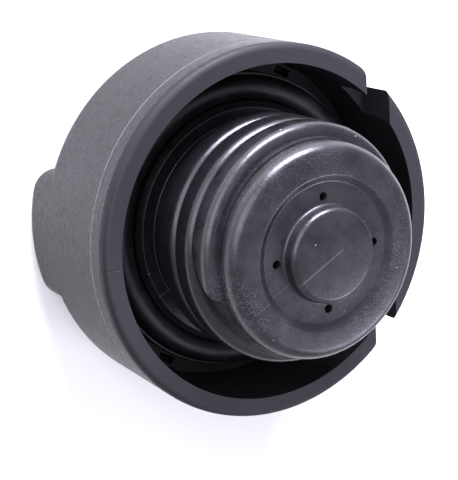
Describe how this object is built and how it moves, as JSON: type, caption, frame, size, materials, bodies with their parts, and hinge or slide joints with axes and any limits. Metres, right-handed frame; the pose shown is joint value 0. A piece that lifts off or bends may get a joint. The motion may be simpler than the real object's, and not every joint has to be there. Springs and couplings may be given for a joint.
{
  "type": "fuel filler cap",
  "caption": "Screw-in fuel filler cap: deep shell with a grip bar, coarse-threaded plug on a ratchet clutch, rubber neck seal, and pressure and vacuum valves inside.",
  "frame": {"origin": "bottom centre, on the flat outer face of the grip bar", "axes": "+Z along the plug's axis towards its end face, +X along the grip bar towards the slotted side of the rim"},
  "size_m": [0.082, 0.082, 0.0612],
  "materials": {
    "shell_plastic": "leather grain, smooth rim",
    "plug_plastic": "satin",
    "ring_plastic": "satin",
    "seal_rubber": "satin",
    "clutch_plastic": "satin",
    "valve_plastic": "satin",
    "spring_steel": "bright",
    "valve_rubber": "satin"
  },
  "bodies": {
    "cap_shell": {"outer_shell": "shell_plastic", "ratchet_ring": "clutch_plastic", "retaining_ring": "ring_plastic", "wave_spring": "spring_steel", "thrust_washer": "spring_steel"},
    "closure": {"threaded_plug": "plug_plastic", "neck_seal": "seal_rubber", "pawl_disc": "clutch_plastic", "valve_housing": "valve_plastic", "housing_seal": "valve_rubber", "spring_cover": "valve_plastic", "pressure_spring": "spring_steel"},
    "pressure_valve": {"pressure_plate": "valve_plastic", "pressure_seal": "valve_rubber", "vacuum_spring": "spring_steel"},
    "vacuum_valve": {"vacuum_poppet": "clutch_plastic", "vacuum_seal": "valve_rubber", "spring_keeper": "spring_steel"}
  },
  "joints": [
    {"name": "closure_turn", "type": "hinge", "parent": "cap_shell", "child": "closure", "pos_m": [0, 0, 0], "axis": [0, 0, 1], "continuous": true},
    {"name": "pressure_slide", "type": "slide", "parent": "closure", "child": "pressure_valve", "axis": [0, 0, -1], "range_m": [0, 0.002], "stiffness_N_per_m": 400, "springref_m": -0.008, "deforming": ["pressure_spring"]},
    {"name": "vacuum_slide", "type": "slide", "parent": "pressure_valve", "child": "vacuum_valve", "axis": [0, 0, 1], "range_m": [0, 0.0015], "stiffness_N_per_m": 60, "springref_m": -0.004, "deforming": ["vacuum_spring"]}
  ]
}
